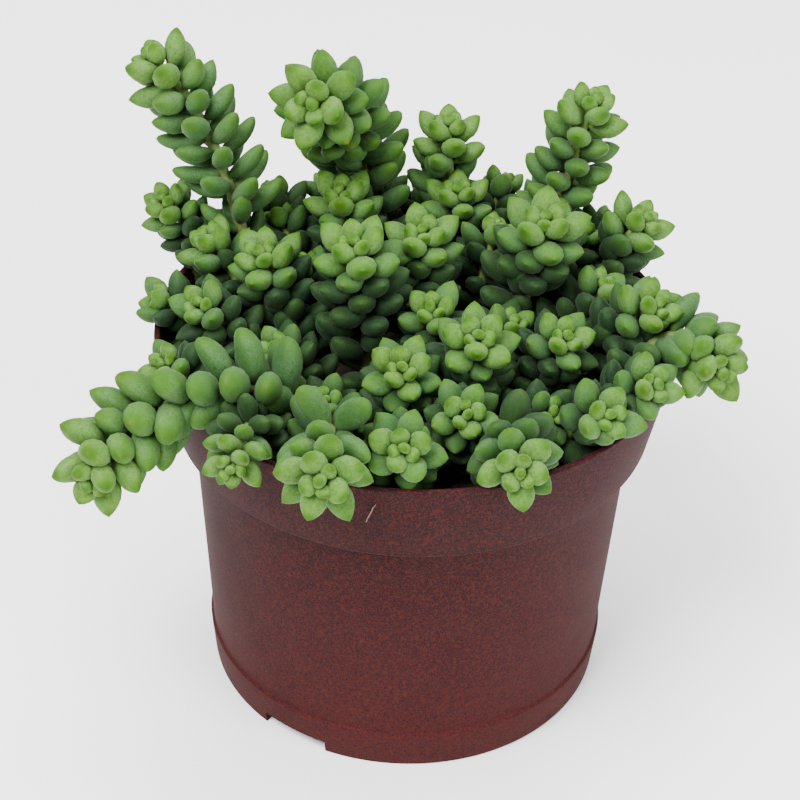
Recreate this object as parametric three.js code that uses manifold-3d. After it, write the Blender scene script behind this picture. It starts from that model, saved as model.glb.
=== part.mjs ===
import * as THREE from "three";
import { mergeVertices } from "three/addons/utils/BufferGeometryUtils.js";
import Module from "manifold-3d";

// A burro's tail succulent in a round plastic nursery pot. Millimetres, +Z up.
// The origin is the middle of the pot's underside, on the surface that the pot stands on.

const wasm = await Module();
wasm.setup();

// Pot
const POT_HEIGHT = 101;
const RIM_RADIUS = 65;
const BAND_HEIGHT = 23.4;
const BAND_FOOT_RADIUS = 60.4;
const BODY_TOP_RADIUS = 55.9;
const FOOT_HEIGHT = 11;
const FOOT_TOP_RADIUS = 52.4;
const FOOT_GROOVE = 0.7;
const BASE_RADIUS = 51.3;
const WALL = 1.6;
const EDGE = 0.7;
const FLOOR_UNDERSIDE = 3;
const FOOT_RING_WIDTH = 5;
const CENTRE_PAD_RADIUS = 13;
const POT_SIDES = 32;
const DRAIN_HOLES = 6;
const DRAIN_HOLE_RADIUS = 4;
const DRAIN_CIRCLE_RADIUS = 33;
const NOTCHES = 2;
const NOTCH_WIDTH = 18.7;
const NOTCH_HEIGHT = 3.6;
const NOTCH_BACK = 47.6;
const NOTCH_FIRST_ANGLE = 237.2;
const DRILL_SIDES = 8;

// Soil
const SOIL_LEVEL = 88;
const SOIL_GAP = 0.3;
const SOIL_RELIEF = 1.2;
const SOIL_RINGS = 3;
const SOIL_WAVES = { across: 7, deep: 6, slant: 3.5, height: 0.6, slantHeight: 0.3 };

// Stems
const STEM_SIDES = 4;
const STEM_RADIUS = 1.7;
const FLAT_SHARE = Math.cos(Math.PI / STEM_SIDES);
const STALK_END = 15;
const HEAD_PROFILE = [
  [0, -2.4],
  [2.7, 0.6],
  [4, 6],
  [STEM_RADIUS, STALK_END],
];
const STEM_STEP = 10;
const BURIED_DEPTH = 6;
const HOLE_CLEARANCE = 0.4;
const HOLE_MOUTH = 3;
const ROOT_SPREAD = 0.76;
const ROOT_LIMIT = 53;
const RISE = 0.35;
const RISE_LEAN = 0.15;
const AXIS_SAMPLES = 40;
const SPLAY_RADIUS = 60;
const LEAST_LEAN = 0.01;

// Leaves. A leaf's rank counts down from the tip of its stem.
const GOLDEN_ANGLE = THREE.MathUtils.degToRad(137.508);
const LEAF_SIDES = 4;
const PLAIN_LEAF = 2;
const FULL_LEAF = 3;
const RING_SHIFT = 0.6;
const LEAF_PITCH = 0.92;
const CROWDING = 3;
const FIRST_LEAF = 0.25;
const GROWN_RANK = 7.5;
const YOUNG_SHARE = 0.36;
const YOUNG_WIDTH = 0.84;
const GROWN_WIDTH = 0.68;
const OLD_RANK = 13;
const OLD_GROWTH = 0.12;
const OLD_WIDTH = 0.54;
const THICKNESS = 0.8;
const BELLY_POWER = 1.08;
const BLUNT_POWER = 0.62;
const FACET_SWELL = 1.15;
const YOUNG_TILT = 8;
const GROWN_TILT = 73;
const OPEN_RANK = 10;
const OPENING_POWER = 0.8;
const LEAF_SPREAD = 0.06;
const LEAF_CURL = 0.12;
const LEAF_SEAT = 0.9;
const ROOT_SINK = 1;
const TOP_RANK = 5;
const FULL_FROM = 10;
const HEAD_RANKS = 11;
const LOWER_STEP = 8;
const LAST_RANK = 90;
const SOIL_MARGIN = 1;
const SEED = 7;
const RANDOM_STEP = 0x6d2b79f5;
const RANDOM_RANGE = 2 ** 32;
const SEAM = 1e-4;

// How far a leaf keeps from the other stems, and where it moves to when it meets one:
// degrees towards its stem's tip, degrees round its stem, and share of its length.
const LEAF_GAP = 0.35;
const PROBE_SHARE = 0.48;
const PROBES = [0.25, 0.45, 0.65, 0.82, 0.93];
const ESCAPES = [
  [0, 0, 1],
  [14, 0, 1],
  [0, 14, 1],
  [0, -14, 1],
  [28, 0, 0.95],
  [-14, 0, 1],
  [20, 17, 0.9],
  [20, -17, 0.9],
  [36, 0, 0.8],
  [30, 0, 0.65],
];

// One leafy stem: its tip, the length of its grown leaves, and what differs from the common rule.
// aim is where the tip looks and root is where the stem leaves the soil. rise and lean pull the
// curve of a long stem. pitch is the stem's length per leaf. Every rank down to dense has a leaf,
// and below that one rank in step has one.
const stem = (tip, leaf, more = {}) => ({
  tip,
  leaf,
  pitch: LEAF_PITCH,
  dense: HEAD_RANKS,
  step: LOWER_STEP,
  ...more,
});

const TALL_AND_TRAILING = [
  stem([-67.5, 37.5, 154], 11.5, {
    root: [-38, 24],
    rise: [-46, 20, 112],
    lean: [-47, 34, 134],
    pitch: 1.2,
    dense: 22,
    step: 6,
  }),
  stem([-27, 24.5, 150], 13, {
    root: [-10, 34],
    rise: [-13, 54, 116],
    lean: [-20, 50, 140],
    pitch: 1.1,
    dense: 25,
    step: 3,
  }),
  stem([7, 47, 132], 10, {
    root: [7, 42],
    rise: [7, 43, 100],
    lean: [7.5, 47, 118],
    dense: 14,
  }),
  stem([43, 40, 144], 10.5, {
    root: [33, 37],
    rise: [35, 40, 105],
    lean: [38, 42, 128],
    pitch: 1.15,
    dense: 20,
  }),
  stem([73, -24, 109], 11, {
    root: [51, -16],
    rise: [57, -12, 122],
    lean: [67, -9, 106],
    dense: 14,
  }),
  stem([-20, -74, 111], 11.5, {
    root: [-19, -46],
    rise: [-19, -47, 122],
    lean: [-19.5, -60, 103],
    dense: 14,
  }),
  stem([24.5, -66, 109], 10.5, {
    root: [21, -43],
    rise: [22, -44, 112],
    lean: [23, -55, 103],
  }),
  stem([-41, -64, 105.5], 8, {
    root: [-35, -40],
    rise: [-37, -43, 113],
    lean: [-40, -53, 103],
  }),
  stem([-74, -59, 97], 12.5, {
    root: [-24, -28],
    rise: [-32, -38, 124],
    lean: [-70, -34, 99],
    pitch: 1.25,
    dense: 32,
    step: 4,
  }),
];

const MOUND = [
  stem([10, 38, 118], 9.5, { aim: [0, -0.35, 1], root: [12, 34] }),
  stem([-65, 28.5, 118], 9, { aim: [-0.6, -0.5, 1] }),
  stem([-53, 15, 116], 9.5),
  stem([-38.5, 4, 119], 10.5, { aim: [-0.3, -0.4, 1] }),
  stem([-20, 30, 121], 10.5, { aim: [-0.1, -0.3, 1] }),
  stem([-15.5, -6, 129], 11.5, { aim: [-0.2, -0.35, 1] }),
  stem([1, 13, 121], 10.5, { aim: [0.1, -0.5, 1] }),
  stem([31, 9, 128], 12, { aim: [0.1, -0.3, 1], root: [26, 12] }),
  stem([57, 27, 118], 10, { aim: [0.7, -0.3, 1] }),
  stem([58, -10, 117], 10.5, { aim: [0.6, -0.5, 1], root: [42, -4] }),
  stem([56.5, -33, 110], 10, { aim: [0.6, -0.9, 1] }),
  stem([45, -45, 109.5], 10.5, { aim: [0.5, -1, 1] }),
  stem([12, -48, 111], 9.5, { aim: [0.15, -1, 1] }),
  stem([14.5, -28.5, 119], 10.5, { aim: [0.1, -0.8, 1] }),
  stem([-3, -36.5, 115], 10, { aim: [-0.1, -0.9, 1] }),
  stem([-2, -60, 109.5], 10, { aim: [0, -1.1, 0.9], root: [-2, -44] }),
  stem([-53, -6, 110], 10, { aim: [-0.6, -0.6, 1] }),
  stem([-64, 0, 107], 9.5, { aim: [-0.8, -0.4, 1] }),
  stem([-59.5, -31, 110], 9, { aim: [-0.6, -0.5, 1] }),
  stem([36, -19, 113], 10, { aim: [0.2, -0.7, 1] }),
  stem([-21, -36, 104.5], 8.5, { aim: [-0.1, -0.8, 1], root: [-20, -30] }),
  stem([4, -9, 113], 10, { aim: [-0.2, -0.5, 1] }),
  stem([22, 56, 110], 9),
  stem([42, 33, 111], 9.5),
  stem([47, 8, 110], 10),
  stem([-36, 36, 109], 9.5),
  stem([-13, -40, 102.5], 7, { aim: [0, -0.6, 1], root: [-10, -35] }),
  stem([-34, -14, 104], 9.5, { aim: [-0.2, -0.6, 1] }),
  stem([20, 30, 112], 9.5),
  stem([-29, 16, 108], 9.5),
  stem([24, -5, 107], 9.5),
  stem([33, -37, 104], 9, { aim: [0.3, -0.6, 1] }),
  stem([-50, 38, 107], 9.5, { root: [-43, 33] }),
  stem([2, 53, 106], 9, { root: [1, 45] }),
  stem([-12, 56, 108], 9.5),
  stem([-39, 47, 110], 9.5),
  stem([36, 52, 108], 9.5),
  stem([50, 41, 108], 9),
  stem([7, 61, 107], 9),
  stem([-24, 56, 109], 9, { root: [-17, 50] }),
];

// Colours and surfaces
const POT_BROWN = new THREE.MeshStandardMaterial({ color: 0x73403a, roughness: 0.6, metalness: 0 });
const SOIL_BROWN = new THREE.MeshStandardMaterial({ color: 0x2b2019, roughness: 0.95, metalness: 0 });
const LEAF_GREEN = new THREE.MeshStandardMaterial({ color: 0x6fa04c, roughness: 0.6, metalness: 0 });

const v3 = (x, y, z) => new THREE.Vector3(x, y, z);
const polar = (radius, angle, z) => v3(radius * Math.cos(angle), radius * Math.sin(angle), z);
const smooth = (t) => THREE.MathUtils.smoothstep(t, 0, 1);

// A seeded random draw between 0 and 1.
function makeRandom(seed) {
  let state = seed >>> 0;
  return () => {
    state = (state + RANDOM_STEP) >>> 0;
    let t = state;
    t = Math.imul(t ^ (t >>> 15), t | 1);
    t ^= t + Math.imul(t ^ (t >>> 7), t | 61);
    return ((t ^ (t >>> 14)) >>> 0) / RANDOM_RANGE;
  };
}

// A three.js geometry with its seams closed: only positions, and each of them once.
function closed(geometry) {
  geometry.deleteAttribute("normal");
  geometry.deleteAttribute("uv");
  return mergeVertices(geometry, SEAM);
}

// A closed geometry as a solid that can be joined and cut.
function solidOf(geometry) {
  return new wasm.Manifold(
    new wasm.Mesh({
      numProp: 3,
      vertProperties: geometry.attributes.position.array,
      triVerts: new Uint32Array(geometry.index.array),
    }),
  );
}

function geometryOf(solid) {
  const mesh = solid.getMesh();
  const position = new THREE.BufferAttribute(new Float32Array(mesh.vertProperties), 3);
  const geometry = new THREE.BufferGeometry();
  geometry.setAttribute("position", position);
  geometry.setIndex(new THREE.BufferAttribute(new Uint32Array(mesh.triVerts), 1));
  geometry.computeVertexNormals();
  return geometry;
}

// A round solid about Z from a profile of [radius, z] points that starts and ends on the axis.
function turned(profile, sides) {
  const points = profile.map(([radius, z]) => new THREE.Vector2(radius, z));
  return closed(new THREE.LatheGeometry(points, sides)).rotateX(Math.PI / 2);
}

// The pot from the pad under its floor, up its outside and over the rim, then down its inside.
// Drainage holes go through the floor, and flat notches are cut into the ring that it stands on.
function makePot() {
  const bandFoot = POT_HEIGHT - BAND_HEIGHT;
  const footInner = BASE_RADIUS - FOOT_RING_WIDTH;
  const floorTop = FLOOR_UNDERSIDE + WALL;
  const profile = [
    [0, 0],
    [CENTRE_PAD_RADIUS, 0],
    [CENTRE_PAD_RADIUS + 1, FLOOR_UNDERSIDE],
    [footInner - 1, FLOOR_UNDERSIDE],
    [footInner, 0],
    [BASE_RADIUS - EDGE, 0],
    [BASE_RADIUS, EDGE],
    [FOOT_TOP_RADIUS, FOOT_HEIGHT],
    [FOOT_TOP_RADIUS - FOOT_GROOVE, FOOT_HEIGHT + EDGE],
    [BODY_TOP_RADIUS, bandFoot],
    [BAND_FOOT_RADIUS, bandFoot],
    [RIM_RADIUS, POT_HEIGHT - EDGE],
    [RIM_RADIUS - EDGE, POT_HEIGHT],
    [RIM_RADIUS - WALL, POT_HEIGHT],
    [BAND_FOOT_RADIUS - WALL, bandFoot + WALL],
    [BODY_TOP_RADIUS - WALL, bandFoot + WALL],
    [BASE_RADIUS - WALL, floorTop + EDGE],
    [BASE_RADIUS - WALL - EDGE, floorTop],
    [0, floorTop],
  ];
  let pot = solidOf(turned(profile, POT_SIDES));
  const drillProfile = [
    [0, -2 * WALL],
    [DRAIN_HOLE_RADIUS, -2 * WALL],
    [DRAIN_HOLE_RADIUS, 2 * WALL],
    [0, 2 * WALL],
  ];
  for (let i = 0; i < DRAIN_HOLES; i++) {
    const drill = turned(drillProfile, DRILL_SIDES);
    const at = polar(DRAIN_CIRCLE_RADIUS, ((i + 0.5) / DRAIN_HOLES) * 2 * Math.PI, floorTop);
    drill.translate(at.x, at.y, at.z);
    pot = pot.subtract(solidOf(drill));
  }
  for (let i = 0; i < NOTCHES; i++) {
    const notch = closed(new THREE.BoxGeometry(3 * FOOT_RING_WIDTH, NOTCH_WIDTH, 2 * NOTCH_HEIGHT));
    notch.translate(NOTCH_BACK + 1.5 * FOOT_RING_WIDTH, 0, 0);
    notch.rotateZ(THREE.MathUtils.degToRad(NOTCH_FIRST_ANGLE + (i * 360) / NOTCHES));
    pot = pot.subtract(solidOf(notch));
  }
  return pot;
}

// The soil fills the pot from its floor to an uneven top. It has a plain hole for each stem.
function makeSoil(axes) {
  const bandFoot = POT_HEIGHT - BAND_HEIGHT;
  const bottom = FLOOR_UNDERSIDE + WALL + SOIL_GAP;
  const inset = WALL + SOIL_GAP;
  const topShare = (SOIL_LEVEL - bandFoot) / BAND_HEIGHT;
  const topRadius = BAND_FOOT_RADIUS + (RIM_RADIUS - BAND_FOOT_RADIUS) * topShare - inset;
  const profile = [
    [0, bottom],
    [BASE_RADIUS - inset - EDGE, bottom],
    [BODY_TOP_RADIUS - inset, bandFoot + inset],
    [BAND_FOOT_RADIUS - inset, bandFoot + inset],
    [topRadius, SOIL_LEVEL],
  ];
  for (let i = SOIL_RINGS - 1; i >= 0; i--) {
    profile.push([(topRadius * i) / SOIL_RINGS, SOIL_LEVEL]);
  }
  const geometry = turned(profile, POT_SIDES / 2);
  const position = geometry.attributes.position;
  for (let i = 0; i < position.count; i++) {
    const [x, y, z] = [position.getX(i), position.getY(i), position.getZ(i)];
    if (z < SOIL_LEVEL - SOIL_GAP || Math.hypot(x, y) > topRadius - 1) continue;
    const wide = SOIL_WAVES.height * Math.sin(x / SOIL_WAVES.across + 1) * Math.cos(y / SOIL_WAVES.deep);
    const narrow = SOIL_WAVES.slantHeight * Math.sin((x - y) / SOIL_WAVES.slant);
    position.setZ(i, SOIL_LEVEL + SOIL_RELIEF * (wide + narrow - 1));
  }
  let soil = solidOf(geometry);
  const radius = STEM_RADIUS + HOLE_CLEARANCE;
  for (const axis of axes) {
    const mouth = axis.length - HOLE_MOUTH;
    const end = axis.length + BURIED_DEPTH + HOLE_CLEARANCE;
    const hole = bentRod(axis, [
      [0, mouth],
      [radius, mouth],
      [radius, end],
      [0, end],
    ]);
    soil = soil.subtract(hole);
  }
  return soil;
}

// A stem's axis, sampled from its tip down to the soil, with the distance from the tip at each sample.
function makeAxis({ tip, root, aim, rise, lean }) {
  const end = v3(...tip);
  let start;
  let control1;
  let control2;
  if (rise) {
    start = v3(root[0], root[1], SOIL_LEVEL);
    control1 = v3(...rise);
    control2 = v3(...lean);
  } else {
    const foot = root ?? [tip[0] * ROOT_SPREAD, tip[1] * ROOT_SPREAD];
    start = v3(foot[0], foot[1], 0);
    if (start.length() > ROOT_LIMIT) start.setLength(ROOT_LIMIT);
    start.z = SOIL_LEVEL;
    const reach = start.distanceTo(end);
    const look = aim ? v3(...aim) : v3(tip[0] / SPLAY_RADIUS, tip[1] / SPLAY_RADIUS, 1);
    control1 = v3(
      start.x + RISE_LEAN * RISE * (tip[0] - start.x),
      start.y + RISE_LEAN * RISE * (tip[1] - start.y),
      start.z + RISE * reach,
    );
    control2 = end.clone().addScaledVector(look.normalize(), -RISE * reach);
  }
  const curve = new THREE.CubicBezierCurve3(start, control1, control2, end);
  const points = [];
  const along = [0];
  for (let i = 0; i <= AXIS_SAMPLES; i++) {
    points.push(curve.getPoint(1 - i / AXIS_SAMPLES));
    if (i > 0) along.push(along[i - 1] + points[i].distanceTo(points[i - 1]));
  }
  const look = end.clone().sub(control2).normalize();
  const leans = Math.hypot(look.x, look.y) > LEAST_LEAN;
  const across = leans ? v3(-look.y, look.x, 0).normalize() : v3(0, 1, 0);
  return { points, along, length: along[AXIS_SAMPLES], across };
}

// A point on a stem's axis by its distance below the tip, with the directions along and across it.
function axisAt({ points, along, across }, distance) {
  let i = 0;
  while (i < AXIS_SAMPLES - 1 && along[i + 1] < distance) i++;
  const share = (distance - along[i]) / (along[i + 1] - along[i]);
  const point = points[i].clone().lerp(points[i + 1], share);
  const forward = points[i].clone().sub(points[i + 1]).normalize();
  const side = across.clone().addScaledVector(forward, -across.dot(forward)).normalize();
  return { point, forward, side, other: forward.clone().cross(side) };
}

// A rod that follows a stem's axis, from a profile of [radius, distance below the tip].
function bentRod(axis, profile) {
  const geometry = turned(profile, STEM_SIDES);
  const position = geometry.attributes.position;
  for (let i = 0; i < position.count; i++) {
    const { point, side, other } = axisAt(axis, position.getZ(i));
    point.addScaledVector(side, -position.getX(i)).addScaledVector(other, position.getY(i));
    position.setXYZ(i, point.x, point.y, point.z);
  }
  return solidOf(geometry);
}

// The rod's radius at a distance below its tip.
function rodRadius(distance) {
  const i = HEAD_PROFILE.findIndex(([, d]) => d > distance);
  if (i < 0) return STEM_RADIUS;
  const [above, below] = [HEAD_PROFILE[i - 1], HEAD_PROFILE[i]];
  return THREE.MathUtils.mapLinear(distance, above[1], below[1], above[0], below[0]);
}

// The stem itself, buried at its foot. Its head swells round the crowded young leaves and ends in a bud.
function makeRod(axis) {
  const profile = HEAD_PROFILE.filter(([, distance]) => distance < axis.length);
  const from = profile.at(-1)[1];
  const steps = Math.ceil((axis.length - from) / STEM_STEP);
  const foot = axis.length + BURIED_DEPTH;
  for (let i = 1; i <= steps; i++) {
    profile.push([STEM_RADIUS, from + (i * (axis.length - from)) / steps]);
  }
  return bentRod(axis, [...profile, [STEM_RADIUS, foot], [0, foot]]);
}

// How far below its stem's tip a leaf grows. The youngest crowd together.
const rankDistance = (row, rank) => (row.pitch * rank * rank) / (rank + CROWDING) + FIRST_LEAF;

// Where one leaf grows and how large it is, moved by one escape.
// Young leaves are short, plump and upright, and old ones longer and slimmer. A leaf's root lies
// inside its stem.
function placeLeaf(row, rank, spread, [closer, turn, share]) {
  const distance = rankDistance(row, rank);
  const { point, forward, side, other } = axisAt(row.axis, distance);
  const angle = row.phase + rank * GOLDEN_ANGLE + THREE.MathUtils.degToRad(turn);
  const out = side.clone().multiplyScalar(Math.cos(angle)).addScaledVector(other, Math.sin(angle));
  const open = smooth((rank + 1) / (OPEN_RANK + 1)) ** OPENING_POWER;
  const tilt = THREE.MathUtils.degToRad(YOUNG_TILT + (GROWN_TILT - YOUNG_TILT) * open - closer);
  const grown = smooth(rank / GROWN_RANK);
  const old = smooth((rank - OLD_RANK) / OLD_RANK);
  const size = (YOUNG_SHARE + (1 - YOUNG_SHARE) * grown) * (1 + OLD_GROWTH * old);
  const slim = YOUNG_WIDTH + (GROWN_WIDTH - YOUNG_WIDTH) * grown + (OLD_WIDTH - GROWN_WIDTH) * old;
  const length = row.leaf * size * share * (1 + LEAF_SPREAD * spread);
  const sunk = FLAT_SHARE * rodRadius(distance) - ROOT_SINK - LEAF_SEAT;
  return {
    length,
    root: sunk / (length * Math.sin(tilt)),
    steps: rank > FULL_FROM && rank <= row.dense ? FULL_LEAF : PLAIN_LEAF,
    width: length * slim,
    base: point.clone().addScaledVector(out, LEAF_SEAT),
    along: forward.clone().multiplyScalar(Math.cos(tilt)).addScaledVector(out, Math.sin(tilt)),
    back: out.clone().multiplyScalar(Math.cos(tilt)).addScaledVector(forward, -Math.sin(tilt)),
  };
}

// A leaf's middle line curls towards the stem's tip. Its outline is widest past the middle.
const leafPoint = ({ base, along, back, length }, t) =>
  base.clone().addScaledVector(along, length * t).addScaledVector(back, -LEAF_CURL * length * t * t);
const leafRadius = (t) => Math.sin(Math.PI * t ** BELLY_POWER) ** BLUNT_POWER;

// A leaf with few facets, a little wider than a round one to be as full.
function makeLeaf(leaf) {
  const geometry = closed(new THREE.SphereGeometry(1, LEAF_SIDES, leaf.steps)).rotateX(Math.PI / 2);
  const position = geometry.attributes.position;
  const sideways = leaf.along.clone().cross(leaf.back);
  const half = 0.5 * FACET_SWELL * leaf.width;
  for (let i = 0; i < position.count; i++) {
    const t = ((1 - position.getZ(i)) / 2) ** RING_SHIFT;
    const radius = Math.hypot(position.getX(i), position.getY(i));
    const swell = radius > SEAM ? leafRadius(t) / radius : 0;
    const point = leafPoint(leaf, t === 0 ? leaf.root : t);
    point.addScaledVector(sideways, half * swell * position.getX(i));
    point.addScaledVector(leaf.back, half * THICKNESS * swell * position.getY(i));
    position.setXYZ(i, point.x, point.y, point.z);
  }
  return solidOf(geometry);
}

// A row of spheres inside a leaf, which stands for it where it is kept clear of others.
function leafSpheres(leaf) {
  const radius = PROBE_SHARE * leaf.width;
  return PROBES.map((t) => ({ centre: leafPoint(leaf, t), radius: radius * leafRadius(t) }));
}

// True where a sphere would touch the soil, the pot's rim or the wall below it.
function meetsPot({ centre, radius }) {
  const away = Math.hypot(centre.x, centre.y);
  const low = centre.z - radius;
  if (away < RIM_RADIUS && low < SOIL_LEVEL + LEAF_GAP) return true;
  if (low > POT_HEIGHT + LEAF_GAP) return false;
  const below = Math.max(0, POT_HEIGHT - centre.z);
  const wall = RIM_RADIUS - ((RIM_RADIUS - BAND_FOOT_RADIUS) * below) / BAND_HEIGHT;
  return away + radius > wall - WALL - LEAF_GAP && away - radius < wall + LEAF_GAP;
}

// True for the ranks that carry a leaf: all of them in the head, fewer below it.
function carriesLeaf(row, rank) {
  if (rank <= TOP_RANK) return false;
  if (rankDistance(row, rank) > row.axis.length - SOIL_MARGIN) return false;
  return rank <= row.dense || (rank - row.dense) % row.step === 0;
}

// Leaves are placed rank by rank over the whole plant, so that every head fills out first.
// A leaf that meets another stem tries each escape in turn, and is left out if none is free.
function growLeaves(rows) {
  const random = makeRandom(SEED);
  const filled = [];
  rows.forEach((row, owner) => {
    row.phase = random() * 2 * Math.PI;
    row.axis.points.forEach((centre, i) => {
      filled.push({ owner, centre, radius: rodRadius(row.axis.along[i]) });
    });
  });
  const meetsOther = (sphere, owner) =>
    filled.some((f) => {
      const apart = f.radius + sphere.radius + LEAF_GAP;
      return f.owner !== owner && f.centre.distanceTo(sphere.centre) < apart;
    });
  for (let rank = 0; rank <= LAST_RANK; rank++) {
    rows.forEach((row, owner) => {
      const spread = 2 * random() - 1;
      if (!carriesLeaf(row, rank)) return;
      for (const escape of ESCAPES) {
        const leaf = placeLeaf(row, rank, spread, escape);
        const spheres = leafSpheres(leaf);
        if (spheres.some((sphere) => meetsPot(sphere) || meetsOther(sphere, owner))) continue;
        row.leaves.push(leaf);
        for (const sphere of spheres) filled.push({ owner, ...sphere });
        break;
      }
    });
  }
}

function addMesh(group, name, solid, material) {
  const mesh = new THREE.Mesh(geometryOf(solid), material.clone());
  mesh.name = name;
  group.add(mesh);
}

const rows = [...TALL_AND_TRAILING, ...MOUND].map((row) => ({
  ...row,
  axis: makeAxis(row),
  leaves: [],
}));
const axes = rows.map((row) => row.axis);
growLeaves(rows);

const plant = new THREE.Group();
addMesh(plant, "pot", makePot(), POT_BROWN);
addMesh(plant, "soil", makeSoil(axes), SOIL_BROWN);
rows.forEach((row, i) => {
  let solid = makeRod(row.axis);
  for (const leaf of row.leaves) solid = solid.add(makeLeaf(leaf));
  addMesh(plant, `leafy_stem_${String(i + 1).padStart(2, "0")}`, solid, LEAF_GREEN);
});

export default plant;
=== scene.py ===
import math

import bpy
import numpy as np
from mathutils import Matrix, Vector, noise


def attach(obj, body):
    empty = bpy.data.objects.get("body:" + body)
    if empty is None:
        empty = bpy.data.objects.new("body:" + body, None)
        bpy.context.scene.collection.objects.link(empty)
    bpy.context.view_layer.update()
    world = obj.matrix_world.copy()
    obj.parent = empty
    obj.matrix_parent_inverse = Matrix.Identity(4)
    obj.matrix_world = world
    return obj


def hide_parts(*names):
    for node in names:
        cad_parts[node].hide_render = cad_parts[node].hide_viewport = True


# A burro's tail succulent in its nursery pot. Lengths are in millimetres until a mesh is made.

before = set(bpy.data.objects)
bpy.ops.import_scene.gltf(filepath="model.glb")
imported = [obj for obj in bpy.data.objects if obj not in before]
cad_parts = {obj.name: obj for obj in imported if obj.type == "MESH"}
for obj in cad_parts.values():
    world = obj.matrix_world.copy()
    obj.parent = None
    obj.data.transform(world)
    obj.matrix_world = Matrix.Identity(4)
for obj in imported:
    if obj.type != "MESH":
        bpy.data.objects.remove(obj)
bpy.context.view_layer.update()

MM = 0.001

# Pot
POT_HEIGHT = 101
RIM_RADIUS = 65
BAND_HEIGHT = 23.4
BAND_FOOT_RADIUS = 60.4
BODY_TOP_RADIUS = 55.9
FOOT_HEIGHT = 11
FOOT_TOP_RADIUS = 52.4
FOOT_GROOVE = 0.7
BASE_RADIUS = 51.3
WALL = 1.6
EDGE = 0.7
FLOOR_UNDERSIDE = 3
FOOT_RING_WIDTH = 5
CENTRE_PAD_RADIUS = 13
FLOOR_DRAFT = 1
BODY_RINGS = (0.25, 0.5, 0.75)
POT_SIDES = 160
FILLET_STEPS = 4
DRAIN_HOLES = 6
DRAIN_HOLE_RADIUS = 4
DRAIN_CIRCLE_RADIUS = 33
DRILL_SIDES = 32
NOTCHES = 2
NOTCH_WIDTH = 18.7
NOTCH_HEIGHT = 3.6
NOTCH_BACK = 47.6
NOTCH_REACH = 15
NOTCH_FIRST_ANGLE = 237.2
SHARP_ANGLE = math.radians(40)
MARK_PLACE = (38.3, -34.4, 2.3)
MARK_SIZE = 2.2

# Soil. Its lumps are (height, width) pairs, and a crumb's stretch along each of its axes is a
# (least, spread) pair. A dry fibre has fallen on the pot's band.
SOIL_LEVEL = 88
SOIL_GAP = 0.3
SOIL_SIDES = 96
SOIL_RINGS = 44
SOIL_DROP = 1.1
SOIL_PEAK = 0.8
SOIL_LUMPS = [(0.55, 14), (0.4, 5), (0.25, 1.8)]
CRUMBS = 420
CRUMB_SIDES = 7
CRUMB_PROFILE = [(0, -1), (0.75, -0.6), (1, 0.05), (0.7, 0.7), (0, 1)]
CRUMB_SIZE = 0.35
CRUMB_SPREAD = 1.1
CRUMB_ROUGHNESS = 0.5
CRUMB_STRETCH = [(1, 1), (0.7, 0.6), (0.6, 0.3)]
CRUMB_TURN = 6
CRUMB_LIFT = 0.25
CRUMB_MARGIN = 2
FIBRE_SIDES = 6
FIBRE_RADIUS = 0.18
FIBRE_COURSE = [
    (-10.1, -62.1, 89.5),
    (-9.9, -62.4, 90.6),
    (-9.5, -62.7, 91.8),
    (-9.0, -63.1, 93.4),
    (-8.6, -63.5, 94.9),
    (-8.0, -63.8, 96.2),
]

# Stems
STEM_RADIUS = 1.7
STALK_END = 15
HEAD_PROFILE = [(0, -2.4), (2.7, 0.6), (4, 6), (STEM_RADIUS, STALK_END)]
BURIED_DEPTH = 6
ROOT_SPREAD = 0.76
ROOT_LIMIT = 53
RISE = 0.35
RISE_LEAN = 0.15
AXIS_SAMPLES = 40
SPLAY_RADIUS = 60
LEAST_LEAN = 0.01
STEM_SIDES = 10
STEM_STEP = 0.9
STEM_LOOK_RADIUS = 1.5
BUD_STEM_RADIUS = 0.7
STEM_TOP = 0.2
FIRST_RING = 0.6
SCAR_DEPTH = 0.09
SCAR_TURN = 5.1
SCAR_RHYTHM = 2.3

# Leaves. A leaf's rank counts down from the tip of its stem.
GOLDEN_ANGLE = math.radians(137.508)
LEAF_PITCH = 0.92
CROWDING = 3
FIRST_LEAF = 0.25
GROWN_RANK = 7.5
YOUNG_SHARE = 0.36
YOUNG_WIDTH = 0.84
GROWN_WIDTH = 0.68
OLD_RANK = 13
OLD_GROWTH = 0.12
OLD_WIDTH = 0.54
OLD_BLUNT = 0.44
YOUNG_TILT = 8
GROWN_TILT = 73
OPEN_RANK = 10
OPENING_POWER = 0.8
LEAF_SPREAD = 0.06
LEAF_CURL = 0.12
LEAF_SEAT = 0.9
BELLY_POWER = 1.08
BLUNT_POWER = 0.62
TOP_RANK = 5
HEAD_RANKS = 11
LOWER_STEP = 8
LAST_RANK = 90
LAST_FINE_RANK = 170
THIN_STEP = 2
THIN_RANK = 30
SOIL_MARGIN = 1
SEED = 7
RANDOM_STEP = 0x6D2B79F5
RANDOM_RANGE = 2**32
WORD = 0xFFFFFFFF

# How far a leaf keeps from the other stems, and where it moves to when it meets one:
# degrees towards its stem's tip, degrees round its stem, and share of its length.
LEAF_GAP = 0.35
FINE_GAP = -0.5
PROBE_SHARE = 0.48
PROBES = np.array([0.25, 0.45, 0.65, 0.82, 0.93])
ESCAPES = [
    (0, 0, 1),
    (14, 0, 1),
    (0, 14, 1),
    (0, -14, 1),
    (28, 0, 0.95),
    (-14, 0, 1),
    (20, 17, 0.9),
    (20, -17, 0.9),
    (36, 0, 0.8),
    (30, 0, 0.65),
]

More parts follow.
